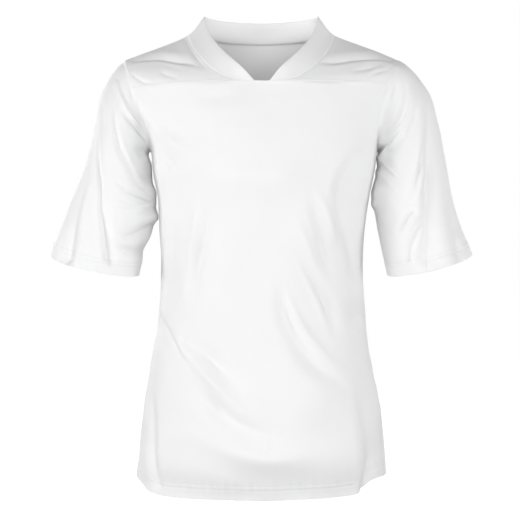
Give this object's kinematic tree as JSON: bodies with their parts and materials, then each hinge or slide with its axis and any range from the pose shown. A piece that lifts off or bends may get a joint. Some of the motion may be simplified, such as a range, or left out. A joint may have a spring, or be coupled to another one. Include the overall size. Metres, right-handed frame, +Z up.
{
  "type": "rugby jersey",
  "caption": "Plain white V-neck half-sleeve rugby jersey with a shoulder yoke, band collar and shirt-tail hem, standing hollow as worn.",
  "frame": {"origin": "midway between the two points where the shoulders meet the neck, where a wearer's shoulders carry the jersey", "axes": "+Z up along the body, -Y out of the front, +X to the right of a front view"},
  "size_m": [0.6029, 0.2389, 0.6906],
  "materials": {
    "body_cloth": "white polyester interlock knit, soft sheen",
    "sleeve_cloth": "white polyester interlock knit, soft sheen",
    "band_cloth": "white doubled knit band, matt"
  },
  "bodies": {
    "root": {"front_panel": "body_cloth", "back_panel": "body_cloth", "yoke": "body_cloth", "sleeve_left": "sleeve_cloth", "sleeve_right": "sleeve_cloth", "collar_band": "band_cloth"}
  },
  "joints": []
}
